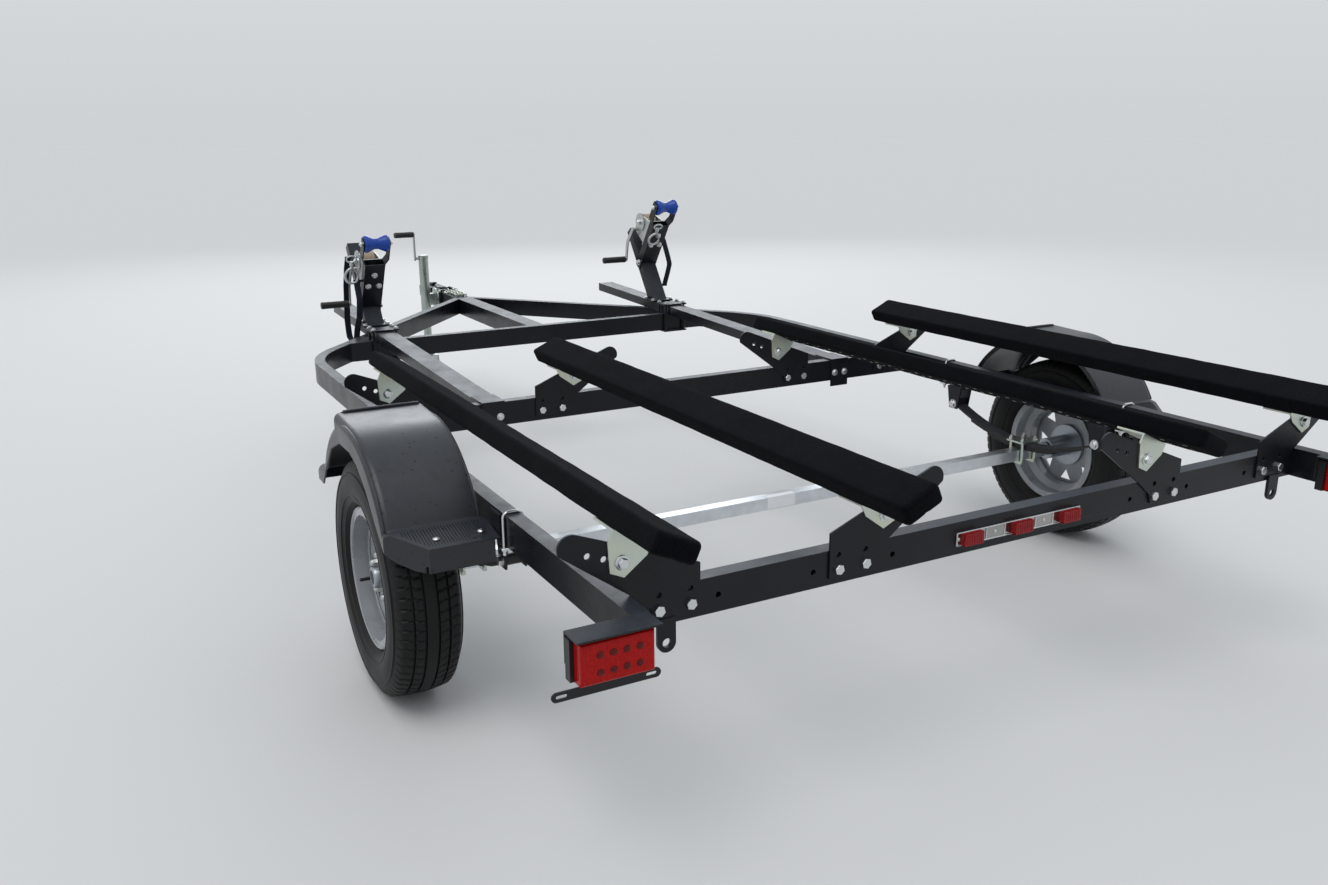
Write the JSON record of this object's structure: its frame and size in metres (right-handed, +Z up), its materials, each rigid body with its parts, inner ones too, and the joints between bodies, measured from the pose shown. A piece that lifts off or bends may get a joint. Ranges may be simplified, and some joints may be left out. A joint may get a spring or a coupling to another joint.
{
  "type": "two-place watercraft boat trailer",
  "caption": "Single-axle steel trailer for two personal watercraft, with tilted carpeted bunks, winch stands, fenders and a swivel jack on a caster.",
  "frame": {"origin": "on the floor under the middle of the trailer's length and width", "axes": "+Y towards the coupler, +X to the trailer's right, +Z up"},
  "size_m": [2.58, 4.72, 1.077],
  "materials": {
    "frame_paint": "satin",
    "zinc": "satin",
    "galvanised": "satin",
    "spring_steel": "satin",
    "carpet": "matte",
    "hub_paint": "satin",
    "wheel_silver": "satin",
    "tyre": "matte",
    "fender_plastic": "satin",
    "lamp_housing": "satin",
    "red_lens": "gloss",
    "dark_red_lens": "gloss",
    "winch_zinc": "satin",
    "strap_webbing": "matte",
    "roller_blue": "gloss",
    "caster_black": "satin"
  },
  "bodies": {
    "frame": {"main_rail_left": "frame_paint", "main_rail_right": "frame_paint", "crossmember_rear": "frame_paint", "crossmember_mid": "frame_paint", "crossmember_front": "frame_paint", "tongue_tube": "frame_paint", "coupler": "frame_paint", "keel_rail_left": "frame_paint", "keel_rail_right": "frame_paint", "keel_clamps": "frame_paint", "winch_post_left": "frame_paint", "winch_post_right": "frame_paint", "bunk_brackets": "frame_paint", "spring_hangers": "frame_paint", "fender_arms": "frame_paint", "jack_mount": "frame_paint", "tie_down_eyes": "frame_paint", "bunk_saddles": "zinc", "axle_clamps": "zinc", "safety_chains": "zinc", "id_light_bar": "zinc", "axle": "galvanised", "leaf_springs": "spring_steel", "bunk_outer_left": "carpet", "bunk_inner_left": "carpet", "bunk_inner_right": "carpet", "bunk_outer_right": "carpet", "fender_left": "fender_plastic", "fender_right": "fender_plastic", "tail_lights": "lamp_housing", "plate_bar": "lamp_housing", "tail_lenses": "red_lens", "id_lenses": "dark_red_lens", "winch_left": "winch_zinc", "winch_right": "winch_zinc", "winch_strap_left": "strap_webbing", "winch_strap_right": "strap_webbing"},
    "wheel_left": {"hub_left": "hub_paint", "rim_left": "wheel_silver", "tyre_left": "tyre"},
    "wheel_right": {"hub_right": "hub_paint", "rim_right": "wheel_silver", "tyre_right": "tyre"},
    "roller_left": {"bow_roller_left": "roller_blue"},
    "roller_right": {"bow_roller_right": "roller_blue"},
    "jack": {"jack_tube": "zinc"},
    "jack_leg": {"jack_leg": "zinc"},
    "caster": {"caster_fork": "zinc"},
    "caster_wheel": {"caster_wheel": "caster_black"}
  },
  "joints": [
    {"name": "road_wheel_left", "type": "hinge", "parent": "frame", "child": "wheel_left", "pos_m": [-1.197, -1.253, 0.308], "axis": [-1, 0, 0], "continuous": true},
    {"name": "road_wheel_right", "type": "hinge", "parent": "frame", "child": "wheel_right", "pos_m": [1.197, -1.253, 0.308], "axis": [-1, 0, 0], "continuous": true},
    {"name": "bow_roller_left", "type": "hinge", "parent": "frame", "child": "roller_left", "pos_m": [-0.685, 0.683, 0.953], "axis": [1, 0, 0], "continuous": true},
    {"name": "bow_roller_right", "type": "hinge", "parent": "frame", "child": "roller_right", "pos_m": [0.685, 0.733, 1.042], "axis": [1, 0, 0], "continuous": true},
    {"name": "jack_swivel", "type": "hinge", "parent": "frame", "child": "jack", "pos_m": [-0.06, 1.963, 0.5201], "axis": [1, 0, 0], "range_deg": [0, 90]},
    {"name": "jack_lift", "type": "slide", "parent": "jack", "child": "jack_leg", "axis": [0, 0, -1], "range_m": [-0.15, 0.1]},
    {"name": "caster_swivel", "type": "hinge", "parent": "jack_leg", "child": "caster", "pos_m": [-0.11, 1.963, 0.215], "axis": [0, 0, -1], "continuous": true},
    {"name": "caster_roll", "type": "hinge", "parent": "caster", "child": "caster_wheel", "pos_m": [-0.11, 1.901, 0.1015], "axis": [-1, 0, 0], "continuous": true}
  ]
}
